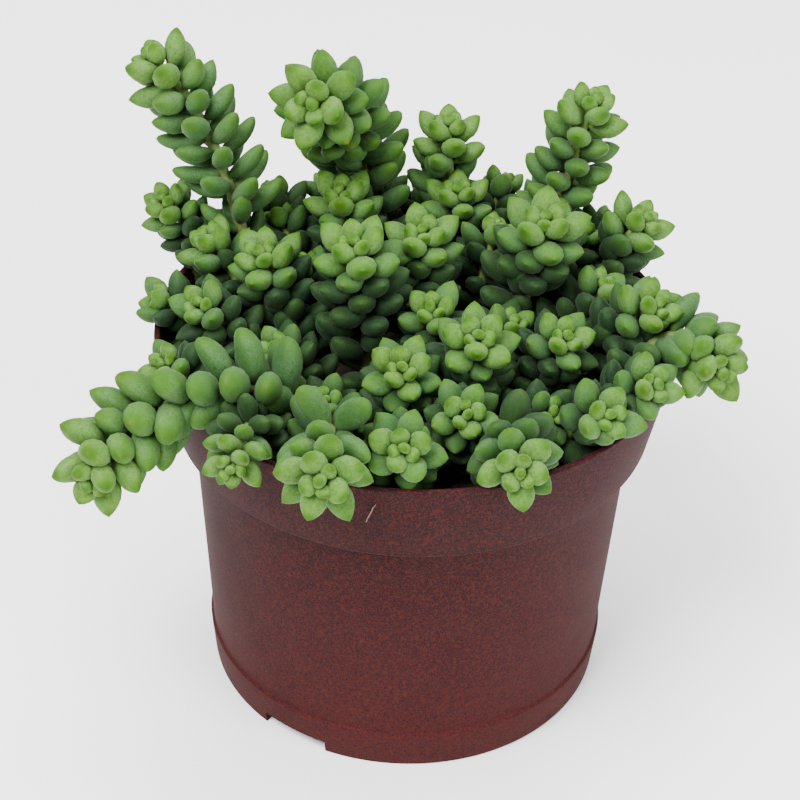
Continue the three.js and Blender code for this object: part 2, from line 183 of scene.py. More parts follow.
# The mesh of one leaf: its sides, and the places of its rings from root to tip.
LEAF_SIDES = 12
LEAF_RINGS = np.array([0.012, 0.05, 0.13, 0.25, 0.4, 0.56, 0.71, 0.83, 0.91, 0.96, 0.99])
LEAF_POINT = 1.012
POINT_WIDTH = 0.85
OUTER_THICKNESS = 0.88
INNER_THICKNESS = 0.7
YOUNG_LOOK_WIDTH = 1.09
LOOK_WIDTH = 0.93
OLD_LOOK_WIDTH = 1.05
YOUNG_BELLY = 1.0
YOUNG_BLUNT = 0.58
HEAD_BELLY = 1.1
HEAD_BLUNT = 0.71
BUD_TILT = 44
MARGIN_POWER = 5
LEAF_TWIST = 0.12
LEAST_CURL = 0.8
CURL_SPREAD = 0.5
LEAF_BULGE = 0.035
BULGE_TURN = 6
BULGE_MIDDLE = 0.3

# A leaf's colour darkens with its rank, for age and painted shade, and low down between the stems,
# where little light comes, with painted shade.
DARK_RANK = 15
DARK_POWER = 2.3
TALL_AGE_AND_SHADE = 0.52
MOUND_AGE_AND_SHADE = 0.95
SHADE_LEVEL = 113
SHADE_DEPTH = 11
SHADE_RANK = 10

# The photograph's camera: it looks at a point over the pot's middle from its front and above.
CAMERA_TARGET = (-3.23, 0, 78.57)
CAMERA_DISTANCE = 624.81
CAMERA_ELEVATION = math.radians(36.86)
CAMERA_ROLL = math.radians(1.95)
CAMERA_LENS = 110.46
SENSOR_WIDTH = 36

# The studio, in metres and watts: each light's name, place, width and power.
LIGHTS = [
    ("key", (-0.6, -0.7, 1.4), 0.8, 70),
    ("fill", (1.1, -0.9, 0.7), 1.1, 34),
    ("top", (0.1, 0.4, 1.7), 1.2, 50),
]
LIGHT_AIM = (0, 0, 0.09)
WORLD_COLOUR = (0.97, 0.985, 1, 1)
WORLD_STRENGTH = 0.5
FLOOR_REACH = 4

# Colours in linear light. A list gives a colour for each place along a scale: a leaf's age and
# painted shade from young and lit to old and deep in shade, a stem's length from bud to foot, the
# pot's height from foot to rim, and the soil's clods from dark to pale.
LEAF_SKIN_AND_SHADE = [
    (0.0, (0.070, 0.160, 0.008)),
    (0.25, (0.044, 0.122, 0.009)),
    (0.6, (0.018, 0.066, 0.011)),
    (1.0, (0.0035, 0.012, 0.006)),
]
LEAF_BLOOM_AND_SHADE = [
    (0.0, (0.096, 0.188, 0.056)),
    (0.5, (0.054, 0.114, 0.044)),
    (1.0, (0.009, 0.022, 0.010)),
]
LEAF_WARM = (0.075, 0.15, 0.008)
LEAF_MOTTLE = (0.014, 0.055, 0.007)
LEAF_ROOT = (0.075, 0.15, 0.014)
LEAF_ZONE = (0.050, 0.130, 0.003)
LEAF_SPOT = (0.026, 0.085, 0.001)
LEAF_BLUSH = (0.12, 0.075, 0.004)
STEM_SKIN = [
    (0.0, (0.10, 0.22, 0.03)),
    (0.45, (0.12, 0.19, 0.035)),
    (1.0, (0.12, 0.10, 0.05)),
]
STEM_FLECKS = (0.08, 0.06, 0.03)
STEM_WARM = (0.17, 0.22, 0.06)
POT_SKIN = [
    (0.0, (0.047, 0.0078, 0.0060)),
    (0.35, (0.028, 0.0048, 0.0042)),
    (0.8, (0.0120, 0.0032, 0.0031)),
    (1.0, (0.0090, 0.0029, 0.0029)),
]
POT_GRAIN = (0.009, 0.005, 0.008)
POT_SPECKS = (0.054, 0.0155, 0.0075)
POT_FLECKS = (0.064, 0.01, 0.0085)
POT_MARK = (0.006, 0.004, 0.004)
POT_DUST = (0.034, 0.014, 0.0125)
SOIL_SKIN = [
    (0.3, (0.008, 0.006, 0.004)),
    (0.55, (0.028, 0.018, 0.011)),
    (0.8, (0.07, 0.042, 0.022)),
]
SOIL_GRIT = (0.14, 0.1, 0.065)
FIBRE_PALE = (0.22, 0.14, 0.095)
FIBRE_DARK = (0.12, 0.065, 0.04)
FLOOR_SHADES = ((0.9, 0.9, 0.9), (0.94, 0.94, 0.94))


def stem(tip, leaf, **more):
    """One stem: its tip, the length of its grown leaves, and what differs from the common rule.

    root, rise and lean set a given course, and aim is the way that a common stem's tip looks.
    pitch spaces the leaves. Down to the rank dense each rank is filled first, and below it one
    in every step. Below the rank thin half of the other leaves stay out, and squeeze is how near
    they come to other stems. broad and plump are the width shares of grown and of old leaves,
    and darkest is how far they darken, with age and with painted shade low down between stems."""
    row = {"tip": tip, "leaf": leaf, "pitch": LEAF_PITCH, "dense": HEAD_RANKS, "step": LOWER_STEP}
    row["thin"] = LAST_FINE_RANK if "rise" in more else THIN_RANK
    row["squeeze"] = FINE_GAP
    row["broad"] = LOOK_WIDTH
    row["plump"] = OLD_LOOK_WIDTH
    row["darkest"] = TALL_AGE_AND_SHADE if "rise" in more else MOUND_AGE_AND_SHADE
    row.update(more)
    return row


TALL_AND_TRAILING = [
    stem((-67.5, 37.5, 154), 11.5, root=(-38, 24), rise=(-46, 20, 112), lean=(-47, 34, 134),
         pitch=1.2, dense=22, step=6, thin=38, plump=0.84),
    stem((-27, 24.5, 150), 13, root=(-10, 34), rise=(-13, 54, 116), lean=(-20, 50, 140),
         pitch=1.1, dense=25, step=3, broad=0.82, plump=0.84),
    stem((7, 47, 132), 10, root=(7, 42), rise=(7, 43, 100), lean=(7.5, 47, 118), dense=14),
    stem((43, 40, 144), 10.5, root=(33, 37), rise=(35, 40, 105), lean=(38, 42, 128),
         pitch=1.15, dense=20),
    stem((73, -24, 109), 11, root=(51, -16), rise=(57, -12, 122), lean=(67, -9, 106),
         dense=14, squeeze=-2.2),
    stem((-20, -74, 111), 11.5, root=(-19, -46), rise=(-19, -47, 122), lean=(-19.5, -60, 103),
         dense=14, thin=12, broad=0.85, plump=0.95, darkest=0.42),
    stem((24.5, -66, 109), 10.5, root=(21, -43), rise=(22, -44, 112), lean=(23, -55, 103)),
    stem((-41, -64, 105.5), 8, root=(-35, -40), rise=(-37, -43, 113), lean=(-40, -53, 103)),
    stem((-74, -59, 97), 12.5, root=(-24, -28), rise=(-32, -38, 124), lean=(-70, -34, 99),
         pitch=1.25, dense=32, step=4, plump=1.12, darkest=0.34),
]

MOUND = [
    stem((10, 38, 118), 9.5, aim=(0, -0.35, 1), root=(12, 34)),
    stem((-65, 28.5, 118), 9, aim=(-0.6, -0.5, 1)),
    stem((-53, 15, 116), 9.5),
    stem((-38.5, 4, 119), 10.5, aim=(-0.3, -0.4, 1)),
    stem((-20, 30, 121), 10.5, aim=(-0.1, -0.3, 1)),
    stem((-15.5, -6, 129), 11.5, aim=(-0.2, -0.35, 1)),
    stem((1, 13, 121), 10.5, aim=(0.1, -0.5, 1)),
    stem((31, 9, 128), 12, aim=(0.1, -0.3, 1), root=(26, 12)),
    stem((57, 27, 118), 10, aim=(0.7, -0.3, 1)),
    stem((58, -10, 117), 10.5, aim=(0.6, -0.5, 1), root=(42, -4)),
    stem((56.5, -33, 110), 10, aim=(0.6, -0.9, 1), darkest=0.65),
    stem((45, -45, 109.5), 10.5, aim=(0.5, -1, 1), darkest=0.6),
    stem((12, -48, 111), 9.5, aim=(0.15, -1, 1), darkest=0.65),
    stem((14.5, -28.5, 119), 10.5, aim=(0.1, -0.8, 1)),
    stem((-3, -36.5, 115), 10, aim=(-0.1, -0.9, 1), darkest=0.7),
    stem((-2, -60, 109.5), 10, aim=(0, -1.1, 0.9), root=(-2, -44), darkest=0.42),
    stem((-53, -6, 110), 10, aim=(-0.6, -0.6, 1)),
    stem((-64, 0, 107), 9.5, aim=(-0.8, -0.4, 1)),
    stem((-59.5, -31, 110), 9, aim=(-0.6, -0.5, 1)),
    stem((36, -19, 113), 10, aim=(0.2, -0.7, 1)),
    stem((-21, -36, 104.5), 8.5, aim=(-0.1, -0.8, 1), root=(-20, -30)),
    stem((4, -9, 113), 10, aim=(-0.2, -0.5, 1)),
    stem((22, 56, 110), 9),
    stem((42, 33, 111), 9.5),
    stem((47, 8, 110), 10),
    stem((-36, 36, 109), 9.5),
    stem((-13, -40, 102.5), 7, aim=(0, -0.6, 1), root=(-10, -35)),
    stem((-34, -14, 104), 9.5, aim=(-0.2, -0.6, 1)),
    stem((20, 30, 112), 9.5),
    stem((-29, 16, 108), 9.5),
    stem((24, -5, 107), 9.5),
    stem((33, -37, 104), 9, aim=(0.3, -0.6, 1)),
    stem((-50, 38, 107), 9.5, root=(-43, 33)),
    stem((2, 53, 106), 9, root=(1, 45)),
    stem((-12, 56, 108), 9.5),
    stem((-39, 47, 110), 9.5),
    stem((36, 52, 108), 9.5),
    stem((50, 41, 108), 9),
    stem((7, 61, 107), 9),
    stem((-24, 56, 109), 9, root=(-17, 50)),
]


def unit(vector):
    return vector / np.linalg.norm(vector)


def smooth(t):
    """A soft step from 0 to 1."""
    t = np.clip(t, 0, 1)
    return t * t * (3 - 2 * t)


def make_random(seed):
    """A seeded draw between 0 and 1, by the mulberry32 rule."""
    state = seed

    def draw():
        nonlocal state
        state = (state + RANDOM_STEP) & WORD
        t = ((state ^ (state >> 15)) * (state | 1)) & WORD
        t ^= (t + ((t ^ (t >> 7)) * (t | 61))) & WORD
        return (t ^ (t >> 14)) / RANDOM_RANGE

    return draw


# Growth


def make_axis(row):
    """A stem's middle line from its tip down to the soil, with the distance from the tip."""
    tip = np.array(row["tip"], float)
    if "rise" in row:
        start = np.array([*row["root"], SOIL_LEVEL], float)
        control1 = np.array(row["rise"], float)
        control2 = np.array(row["lean"], float)
    else:
        start = np.array([*row.get("root", tip[:2] * ROOT_SPREAD), 0], float)
        start *= min(1, ROOT_LIMIT / np.linalg.norm(start))
        start[2] = SOIL_LEVEL
        reach = np.linalg.norm(tip - start)
        look = np.array(row.get("aim", (tip[0] / SPLAY_RADIUS, tip[1] / SPLAY_RADIUS, 1)), float)
        lean = RISE_LEAN * RISE * (tip - start)
        control1 = start + np.array([lean[0], lean[1], RISE * reach])
        control2 = tip - RISE * reach * unit(look)
    t = (1 - np.arange(AXIS_SAMPLES + 1) / AXIS_SAMPLES)[:, None]
    k = 1 - t
    points = k**3 * start + 3 * k * k * t * control1 + 3 * k * t * t * control2 + t**3 * tip
    steps = np.linalg.norm(np.diff(points, axis=0), axis=1)
    look = unit(tip - control2)
    across = np.array([0.0, 1.0, 0.0])
    if math.hypot(look[0], look[1]) > LEAST_LEAN:
        across = unit(np.array([-look[1], look[0], 0]))
    return {"points": points, "along": np.concatenate([[0], np.cumsum(steps)]), "across": across}


def axis_at(axis, distance):
    """The point on a stem at a distance below its tip, with the directions along and across it."""
    points, along = axis["points"], axis["along"]
    i = min(max(int(np.searchsorted(along, distance)) - 1, 0), AXIS_SAMPLES - 1)
    share = (distance - along[i]) / (along[i + 1] - along[i])
    point = points[i] + (points[i + 1] - points[i]) * share
    forward = unit(points[i] - points[i + 1])
    side = unit(axis["across"] - forward * (axis["across"] @ forward))
    return point, forward, side, np.cross(forward, side)


def rod_radius(distance):
    """The room that a stem's core takes at a distance below its tip."""
    radii, places = zip(*HEAD_PROFILE)
    return float(np.interp(distance, places, radii))


def rank_distance(row, rank):
    """How far below a stem's tip its leaf of a rank grows. Near the tip the ranks crowd."""
    return row["pitch"] * rank * rank / (rank + CROWDING) + FIRST_LEAF


def place_leaf(row, rank, spread, escape):
    """Where one leaf grows and how large it is. Young leaves are short, plump and upright."""
    closer, turn, share = escape
    point, forward, side, other = axis_at(row["axis"], rank_distance(row, rank))
    angle = row["phase"] + rank * GOLDEN_ANGLE + math.radians(turn)
    out = side * math.cos(angle) + other * math.sin(angle)
    opened = smooth((rank + 1) / (OPEN_RANK + 1)) ** OPENING_POWER
    tilt = YOUNG_TILT + (GROWN_TILT - YOUNG_TILT) * opened
    tilt = math.radians((max(tilt, BUD_TILT) if rank > 0 else tilt) - closer)
    grown = smooth(rank / GROWN_RANK)
    old = smooth((rank - OLD_RANK) / OLD_RANK)
    length = row["leaf"] * (YOUNG_SHARE + (1 - YOUNG_SHARE) * grown) * share
    length *= (1 + LEAF_SPREAD * spread) * (1 + OLD_GROWTH * old)
    slim = YOUNG_WIDTH + (GROWN_WIDTH - YOUNG_WIDTH) * grown + (OLD_WIDTH - GROWN_WIDTH) * old
    return {
        "rank": rank,
        "grown": grown,
        "old": old,
        "broad": row["broad"],
        "plump": row["plump"],
        "darkest": row["darkest"],
        "length": length,
        "width": length * slim,
        "base": point + out * LEAF_SEAT * min(1, rank),
        "along": forward * math.cos(tilt) + out * math.sin(tilt),
        "back": out * math.cos(tilt) - forward * math.sin(tilt),
    }


def leaf_radius(t, belly=BELLY_POWER, blunt=BLUNT_POWER):
    """A leaf's radius at each place along it, as a share of the widest."""
    return np.sin(np.pi * t**belly) ** blunt


def leaf_spheres(leaf):
    """A row of spheres inside a leaf, which stands for it where it is kept clear of others."""
    reach = leaf["length"] * PROBES[:, None]
    centres = leaf["base"] + leaf["along"] * reach
    centres = centres - leaf["back"] * LEAF_CURL * leaf["length"] * PROBES[:, None] ** 2
    return centres, PROBE_SHARE * leaf["width"] * leaf_radius(PROBES)


def meets_pot(centres, radii, gap):
    """True where a sphere would touch the soil, the pot's rim or the wall below it."""
    away = np.hypot(centres[:, 0], centres[:, 1])
    low = centres[:, 2] - radii
    below = np.maximum(0, POT_HEIGHT - centres[:, 2])
    wall = RIM_RADIUS - (RIM_RADIUS - BAND_FOOT_RADIUS) * below / BAND_HEIGHT
    on_soil = (away < RIM_RADIUS) & (low < SOIL_LEVEL + gap)
    on_wall = (away + radii > wall - WALL - gap) & (away - radii < wall + gap)
    return bool((on_soil | ((low <= POT_HEIGHT + gap) & on_wall)).any())


class Filled:
    """The spheres of every stem and leaf so far, each with the number of its stem."""

    def __init__(self):
        self.centres = np.empty((0, 3))
        self.radii = np.empty(0)
        self.owners = np.empty(0, int)

    def add(self, owner, centres, radii):
        self.centres = np.concatenate([self.centres, centres])
        self.radii = np.concatenate([self.radii, radii])
        self.owners = np.concatenate([self.owners, np.full(len(radii), owner)])

    def meets(self, owner, centres, radii, gap):
        apart = np.linalg.norm(self.centres[None] - centres[:, None], axis=2)
        touches = apart < self.radii + radii[:, None] + gap
        return bool((touches & (self.owners != owner)).any())


def carries_leaf(row, rank):
    """True for the ranks whose leaves come first: all of the head's, and fewer below it."""
    if rank <= TOP_RANK or rank > LAST_RANK:
        return False
    return rank <= row["dense"] or (rank - row["dense"]) % row["step"] == 0


def grow_leaves(rows):
    """Leaves are placed rank by rank over the whole plant: first the main ones, then all between.
    A leaf that meets another stem tries each escape in turn, and is left out if none is free."""
    random = make_random(SEED)
    filled = Filled()
    for owner, row in enumerate(rows):
        row["phase"] = random() * 2 * math.pi
        radii = [rod_radius(distance) for distance in row["axis"]["along"]]
        filled.add(owner, row["axis"]["points"], np.array(radii))

    def try_leaf(owner, row, rank, spread, gap):
        if rank_distance(row, rank) > row["axis"]["along"][-1] - SOIL_MARGIN:
            return
        for escape in ESCAPES:
            leaf = place_leaf(row, rank, spread, escape)
            centres, radii = leaf_spheres(leaf)
            if meets_pot(centres, radii, max(gap, 0)) or filled.meets(owner, centres, radii, gap):
                continue
            row["leaves"][rank] = leaf
            filled.add(owner, centres, radii)
            return

    for rank in range(LAST_RANK + 1):
        for owner, row in enumerate(rows):
            spread = 2 * random() - 1
            if carries_leaf(row, rank):
                try_leaf(owner, row, rank, spread, LEAF_GAP)
    for rank in range(LAST_FINE_RANK + 1):
        for owner, row in enumerate(rows):
            spread = 2 * random() - 1
            thin = rank > row["thin"] and rank % THIN_STEP > 0
            if rank not in row["leaves"] and not thin:
                try_leaf(owner, row, rank, spread, row["squeeze"])


# Meshes


def add_piece(name, verts, faces, materials, replaces=(), looks=None, parts=None):
    """A smooth mesh piece from points in millimetres. looks holds four numbers a point for
    its materials, and parts the material's place in the list for each face."""
    mesh = bpy.data.meshes.new(name)
    mesh.from_pydata((np.asarray(verts) * MM).tolist(), [], faces)
    for material in materials:
        mesh.materials.append(material)
    if looks is not None:
        layer = mesh.attributes.new("look", "FLOAT_COLOR", "POINT")
        layer.data.foreach_set("color", np.asarray(looks, np.float32).ravel())
    if parts is not None:
        mesh.polygons.foreach_set("material_index", np.asarray(parts, np.int32))
    mesh.shade_smooth()
    mesh.update()
    piece = bpy.data.objects.new(name, mesh)
    bpy.context.collection.objects.link(piece)
    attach(piece, "root")
    if replaces:
        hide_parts(*replaces)
    return piece


def ring_faces(rings, sides, first=0):
    """Quads between rings of points, each ring in the same order."""
    faces = []
    for i in range(rings - 1):
        for j in range(sides):
            a = first + i * sides + j
            b = first + i * sides + (j + 1) % sides
            faces.append((a, b, b + sides, a + sides))
    return faces


def capped_rings(rings, sides):
    """The faces of a closed form: a first pole, its rings, then a last pole. They look out where
    the rings turn anticlockwise about the way in which they follow each other."""
    last = 1 + rings * sides
    faces = [(0, 1 + (j + 1) % sides, 1 + j) for j in range(sides)]
    faces += ring_faces(rings, sides, 1)
    low = last - sides
    faces += [(last, low + j, low + (j + 1) % sides) for j in range(sides)]
    return faces


# A leaf's rings turn clockwise on the way to its tip, so each face is turned over. Triangles are
# filled up with -1.
LEAF_FACES = np.array(
    [face[::-1] + (-1,) * (4 - len(face)) for face in capped_rings(len(LEAF_RINGS), LEAF_SIDES)]
)
LEAF_POINTS = 2 + len(LEAF_RINGS) * LEAF_SIDES


def leaf_points(leaf, random):
    """The points of one plump leaf, curled towards its stem's tip, and their looks."""
    grown = leaf["grown"]
    belly = YOUNG_BELLY + (HEAD_BELLY - YOUNG_BELLY) * grown
    blunt = YOUNG_BLUNT + (HEAD_BLUNT - YOUNG_BLUNT) * grown
    blunt += (OLD_BLUNT - HEAD_BLUNT) * leaf["old"]
    t = np.concatenate([[0], LEAF_RINGS, [LEAF_POINT]])
    radius = np.concatenate([[0], leaf_radius(LEAF_RINGS, belly, blunt), [0]])
    radius[-2] *= POINT_WIDTH
    twist = LEAF_TWIST * (random() - 0.5)
    sideways = np.cross(leaf["along"], leaf["back"])
    side = sideways * math.cos(twist) + leaf["back"] * math.sin(twist)
    back = leaf["back"] * math.cos(twist) - sideways * math.sin(twist)
    curl = LEAF_CURL * (LEAST_CURL + CURL_SPREAD * random())
    middle = leaf["base"] + np.outer(t * leaf["length"], leaf["along"])
    middle -= np.outer(curl * leaf["length"] * t * t, leaf["back"])
    angles = np.arange(LEAF_SIDES) / LEAF_SIDES * 2 * math.pi
    wave = LEAF_BULGE * np.sin(2 * angles + BULGE_TURN * random())
    bulge = 1 + wave * (random() - BULGE_MIDDLE)
    thick = np.where(np.sin(angles) > 0, OUTER_THICKNESS, INNER_THICKNESS)
    share = YOUNG_LOOK_WIDTH + (leaf["broad"] - YOUNG_LOOK_WIDTH) * grown
    share += (leaf["plump"] - leaf["broad"]) * leaf["old"]
    half = 0.5 * share * leaf["width"] * radius[1:-1, None, None]
    ring = side * (np.cos(angles) * bulge)[:, None] + back * (np.sin(angles) * thick)[:, None]
    grid = middle[1:-1, None] + half * ring[None]
    points = np.concatenate([middle[:1], grid.reshape(-1, 3), middle[-1:]])
    tone = random()
    x, y, z = leaf["base"]
    # Painted shade: leaves low down inside the rim are darkened, and the darkening with rank is
    # partly age and partly painted shade.
    shaded = smooth((SHADE_LEVEL - z) / SHADE_DEPTH) * (math.hypot(x, y) < RIM_RADIUS)
    shaded *= smooth(leaf["rank"] / SHADE_RANK)
    rank_darkening = min(1, leaf["rank"] / DARK_RANK) ** DARK_POWER
    age_and_shade = min(1, leaf["darkest"] * (rank_darkening + shaded))
    margin = np.abs(np.cos(angles)) ** MARGIN_POWER
    looks = np.empty((LEAF_POINTS, 4))
    looks[:, 0] = age_and_shade
    looks[:, 1] = tone
    looks[:, 2] = np.concatenate([t[:1], np.repeat(t[1:-1], LEAF_SIDES), t[-1:]])
    looks[:, 3] = np.concatenate([[0], np.tile(margin, len(LEAF_RINGS)), [1]])
    return points, looks


def stem_points(row, random):
    """The points of a thin stem with the scars of its leaves, from its bud into the soil."""
    axis = row["axis"]
    length = axis["along"][-1]
    count = int((length + BURIED_DEPTH) / STEM_STEP)
    places = np.linspace(FIRST_RING, length + BURIED_DEPTH, count)
    angles = np.arange(STEM_SIDES) / STEM_SIDES * 2 * math.pi
    rings = []
    for place in places:
        point, forward, side, other = axis_at(axis, place)
        radius = BUD_STEM_RADIUS + (STEM_LOOK_RADIUS - BUD_STEM_RADIUS) * smooth(place / STALK_END)
        scar = np.sin(angles * 2 + place * SCAR_TURN) * np.sin(place * SCAR_RHYTHM + angles)
        ring = side * np.cos(angles)[:, None] + other * np.sin(angles)[:, None]
        rings.append(point + ring * (radius * (1 + SCAR_DEPTH * scar))[:, None])
    top = axis_at(axis, STEM_TOP)[0]
    foot = axis_at(axis, places[-1])[0]
    points = np.concatenate([[top], *rings, [foot]])
    looks = np.zeros((len(points), 4))
    share = np.concatenate([[0], np.repeat(places / length, STEM_SIDES), [1]])
    looks[:, 0] = np.clip(share, 0, 1)
    looks[:, 1] = random()
    faces = [face[::-1] for face in capped_rings(count, STEM_SIDES)]
    return points, looks, faces


def add_leafy_stem(number, row, materials, random):
    """One stem with all its leaves, each of them a closed form."""
    points, looks, faces = stem_points(row, random)
    points, looks = [points], [looks]
    parts = [1] * len(faces)
    first = len(points[0])
    for rank in sorted(row["leaves"]):
        more, seen = leaf_points(row["leaves"][rank], random)
        points.append(more)
        looks.append(seen)
        for face in LEAF_FACES:
            faces.append(tuple(int(v) + first for v in face if v >= 0))
        parts += [0] * len(LEAF_FACES)
        first += LEAF_POINTS
    node = "leafy_stem_%02d" % number
    add_piece(
        "burros_tail_%02d" % number,
        np.concatenate(points),
        faces,
        materials,
        replaces=[node],
        looks=np.concatenate(looks),
        parts=parts,
    )


def rounded(profile):
    """A profile of (radius, z, fillet) corners as points, each corner turned into a short arc."""
    corners = [np.array(corner[:2], float) for corner in profile]
    points = [corners[0]]
    for i in range(1, len(profile) - 1):
        fillet = profile[i][2]
        before = unit(corners[i - 1] - corners[i])
        after = unit(corners[i + 1] - corners[i])
        if not fillet:
            points.append(corners[i])
            continue
        for step in range(FILLET_STEPS + 1):
            s = step / FILLET_STEPS
            weight_before, weight_after = (1 - s) ** 2, s**2
            points.append(corners[i] + fillet * (weight_before * before + weight_after * after))
    points.append(corners[-1])
    return points


def turned(profile, sides):
    """A closed form round Z from profile points that start and end on the axis."""
    angles = np.arange(sides) / sides * 2 * math.pi
    rings = [
        np.stack([r * np.cos(angles), r * np.sin(angles), np.full(sides, z)], axis=1)
        for r, z in profile[1:-1]
    ]
    points = np.concatenate([[[0, 0, profile[0][1]]], *rings, [[0, 0, profile[-1][1]]]])
    return points, capped_rings(len(rings), sides)


def pot_profile():
    """The pot's section, from the middle of its underside round the rim to its floor."""
    band_foot = POT_HEIGHT - BAND_HEIGHT
    foot_inner = BASE_RADIUS - FOOT_RING_WIDTH
    floor_top = FLOOR_UNDERSIDE + WALL
    inner_band_foot = band_foot + WALL
    wall_run = (FOOT_TOP_RADIUS - FOOT_GROOVE, FOOT_HEIGHT + EDGE)
    profile = [
        (0, 0, 0),
        (CENTRE_PAD_RADIUS, 0, 0.3),
        (CENTRE_PAD_RADIUS + FLOOR_DRAFT, FLOOR_UNDERSIDE, 0.8),
        (foot_inner - FLOOR_DRAFT, FLOOR_UNDERSIDE, 0.8),
        (foot_inner, 0, 0.4),
        (BASE_RADIUS, 0, 0.7),
        (FOOT_TOP_RADIUS, FOOT_HEIGHT, 0.35),
        (*wall_run, 0.35),
    ]
    for share in BODY_RINGS:
        radius = wall_run[0] + (BODY_TOP_RADIUS - wall_run[0]) * share
        profile.append((radius, wall_run[1] + (band_foot - wall_run[1]) * share, 0))
    profile += [
        (BODY_TOP_RADIUS, band_foot, 1.2),
        (BAND_FOOT_RADIUS, band_foot, 0.7),
        (RIM_RADIUS, POT_HEIGHT, 0.7),
        (RIM_RADIUS - WALL, POT_HEIGHT, 0.5),
        (BAND_FOOT_RADIUS - WALL, inner_band_foot, 1),
        (BODY_TOP_RADIUS - WALL, inner_band_foot, 0.8),
        (BASE_RADIUS - WALL, floor_top, 1.5),
        (0, floor_top, 0),
    ]
    return rounded(profile)


def cutters():
    """The drills of the drainage holes and the blocks of the foot notches."""
    points, faces = [], []

    def add(more, more_faces):
        first = sum(len(p) for p in points)
        points.append(np.asarray(more, float))
        faces.extend(tuple(first + v for v in face) for face in more_faces)

    floor_top = FLOOR_UNDERSIDE + WALL
    reach = 2 * WALL
    drill = [(0, -reach), (DRAIN_HOLE_RADIUS, -reach), (DRAIN_HOLE_RADIUS, reach), (0, reach)]
    for i in range(DRAIN_HOLES):
        angle = (i + 0.5) / DRAIN_HOLES * 2 * math.pi
        at = DRAIN_CIRCLE_RADIUS * np.array([math.cos(angle), math.sin(angle), 0])
        drilled, drill_faces = turned(drill, DRILL_SIDES)
        add(drilled + at + [0, 0, floor_top], drill_faces)
    for i in range(NOTCHES):
        angle = math.radians(NOTCH_FIRST_ANGLE + i * 360 / NOTCHES)
        outward = np.array([math.cos(angle), math.sin(angle), 0])
        across = np.array([-outward[1], outward[0], 0])
        low = [
            outward * (NOTCH_BACK + s * NOTCH_REACH) + across * c * NOTCH_WIDTH / 2
            for s, c in ((0, -1), (1, -1), (1, 1), (0, 1))
        ]
        block = [p + [0, 0, z] for z in (-NOTCH_HEIGHT, NOTCH_HEIGHT) for p in low]
        sides = [(i, (i + 1) % 4, (i + 1) % 4 + 4, i + 4) for i in range(4)]
        add(block, [(3, 2, 1, 0), (4, 5, 6, 7), *sides])
    return np.concatenate(points), faces


def add_pot(material):
    """The pot, with its drainage holes and the notches of its foot cut out."""
    points, faces = turned(pot_profile(), POT_SIDES)
    pot = add_piece("nursery_pot", points, faces, [material], replaces=["pot"])
    cut_points, cut_faces = cutters()
    mesh = bpy.data.meshes.new("pot_cutters")
    mesh.from_pydata((cut_points * MM).tolist(), [], cut_faces)
    cutter = bpy.data.objects.new("pot_cutters", mesh)
    bpy.context.collection.objects.link(cutter)
    cut = pot.modifiers.new("cut", "BOOLEAN")
    cut.operation = "DIFFERENCE"
    cut.solver = "EXACT"
    cut.object = cutter
    graph = bpy.context.evaluated_depsgraph_get()
    finished = bpy.data.meshes.new_from_object(pot.evaluated_get(graph))
    pot.modifiers.clear()
    pot.data = finished
    bpy.data.objects.remove(cutter)
    finished.shade_smooth()
    finished.set_sharp_from_angle(angle=SHARP_ANGLE)


def soil_height(x, y):
    """How far the soil's top lies under its level: broad lumps, then clods, then grit."""
    at = Vector((x, y, 0))
    lumps = sum(height * noise.noise(at / width) for height, width in SOIL_LUMPS)
    return -SOIL_DROP + min(lumps, SOIL_DROP * SOIL_PEAK)


def add_soil(material, random):
    """The soil with its uneven top, and the crumbs that lie on it."""
    band_foot = POT_HEIGHT - BAND_HEIGHT
    inset = WALL + SOIL_GAP
    bottom = FLOOR_UNDERSIDE + WALL + SOIL_GAP
    share = (SOIL_LEVEL - band_foot) / BAND_HEIGHT
    top_radius = BAND_FOOT_RADIUS + (RIM_RADIUS - BAND_FOOT_RADIUS) * share - inset
    profile = [
        (0, bottom),
        (BASE_RADIUS - inset - EDGE, bottom),
        (BODY_TOP_RADIUS - inset, band_foot + inset),
        (BAND_FOOT_RADIUS - inset, band_foot + inset),
        (top_radius, SOIL_LEVEL - SOIL_DROP),
    ]
    for i in range(SOIL_RINGS - 1, -1, -1):
        profile.append((top_radius * i / SOIL_RINGS, SOIL_LEVEL))
    points, faces = turned(profile, SOIL_SIDES)
    for point in points:
        if point[2] > SOIL_LEVEL - 0.5 * SOIL_DROP:
            point[2] = SOIL_LEVEL + soil_height(point[0], point[1])
    points, first = [points], len(points)
    crumb_points, crumb_faces = turned(CRUMB_PROFILE, CRUMB_SIDES)
    for _ in range(CRUMBS):
        away = (top_radius - CRUMB_MARGIN) * math.sqrt(random())
        angle = random() * 2 * math.pi
        x, y = away * math.cos(angle), away * math.sin(angle)
        size = CRUMB_SIZE + CRUMB_SPREAD * random() ** 3
        roll = CRUMB_TURN * random()
        turn = Matrix.Rotation(roll, 3, (random() - 0.5, random() - 0.5, random() - 0.5))
        stretch = np.array([least + spread * random() for least, spread in CRUMB_STRETCH])
        rough = 1 + CRUMB_ROUGHNESS * (np.array([random() for _ in crumb_points]) - 0.5)
        crumb = crumb_points * rough[:, None] * stretch * size
        crumb = crumb @ np.array(turn).T
        points.append(crumb + [x, y, SOIL_LEVEL + soil_height(x, y) + CRUMB_LIFT * size])
        faces += [tuple(first + v for v in face) for face in crumb_faces]
        first += len(crumb_points)
    add_piece("potting_soil", np.concatenate(points), faces, [material], replaces=["soil"])


